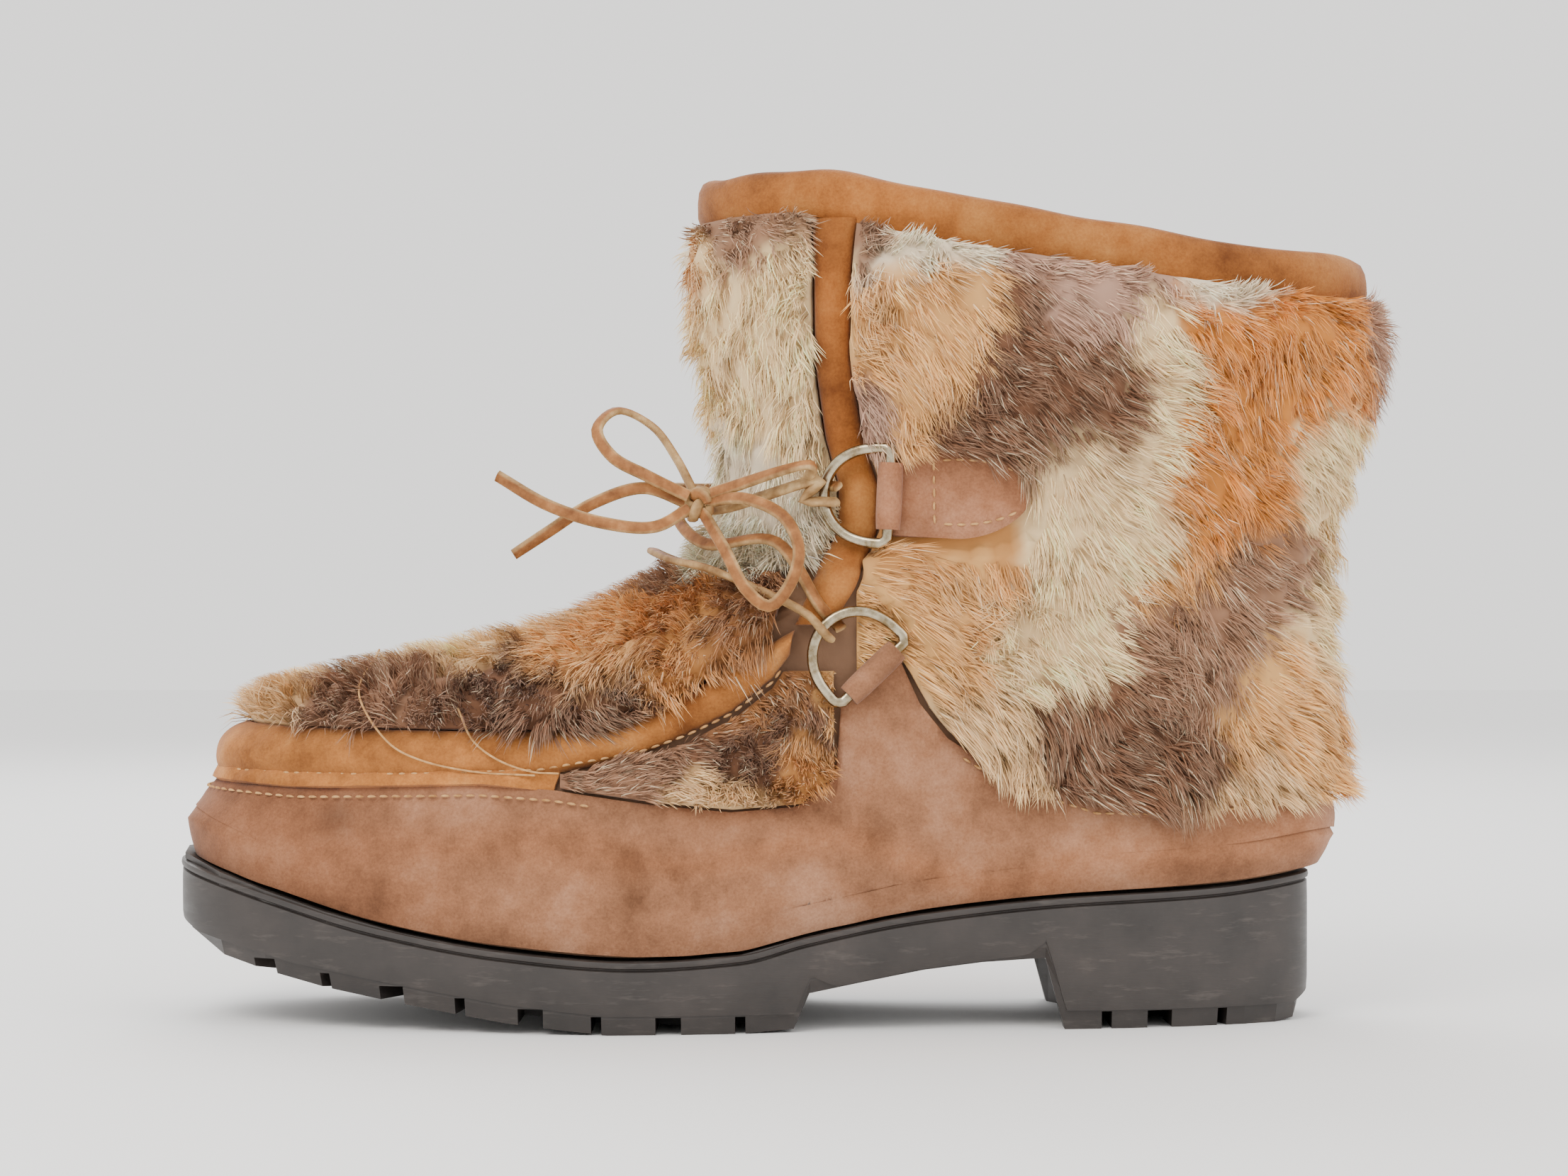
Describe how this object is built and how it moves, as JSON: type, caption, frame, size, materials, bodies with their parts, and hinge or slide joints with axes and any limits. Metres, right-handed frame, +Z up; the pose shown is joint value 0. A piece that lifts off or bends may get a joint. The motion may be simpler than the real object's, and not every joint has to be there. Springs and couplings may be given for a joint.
{
  "type": "winter boot",
  "caption": "Left ankle boot in patchwork fur and suede with a padded apron roll, D-rings, a leather thong tied in a bow and a lugged rubber sole with a heel.",
  "frame": {"origin": "on the floor under the middle of the boot, measured without the bow of the lace", "axes": "+X to the toe, +Y to the outer side of the left foot, +Z up"},
  "size_m": [0.3158, 0.1108, 0.2189],
  "materials": {
    "sole": "satin",
    "felt": "matte",
    "hide": "matte",
    "suede_brown": "matte",
    "suede_tan": "matte",
    "fur_brown": "matte",
    "fur_cream": "matte",
    "fur_ginger": "matte",
    "ring": "polished",
    "thong": "matte"
  },
  "bodies": {
    "root": {"outsole": "sole", "insole": "felt", "upper": "hide", "foxing": "suede_brown", "apron_roll": "suede_tan", "apron_fur": "fur_brown", "front_fur": "fur_cream", "shaft_fur": "fur_ginger", "collar_binding": "suede_tan", "lace_crossings": "thong", "bow_knot": "thong", "bow_loop_front": "thong", "bow_loop_side": "thong", "lace_end_low": "thong", "lace_end_high": "thong", "side_fur_outer": "fur_brown", "front_strip_outer": "suede_tan", "ring_tab_outer": "suede_brown", "ring_upper_outer": "ring", "ring_lower_outer": "ring", "side_fur_inner": "fur_brown", "front_strip_inner": "suede_tan", "ring_tab_inner": "suede_brown", "ring_upper_inner": "ring", "ring_lower_inner": "ring"}
  },
  "joints": []
}
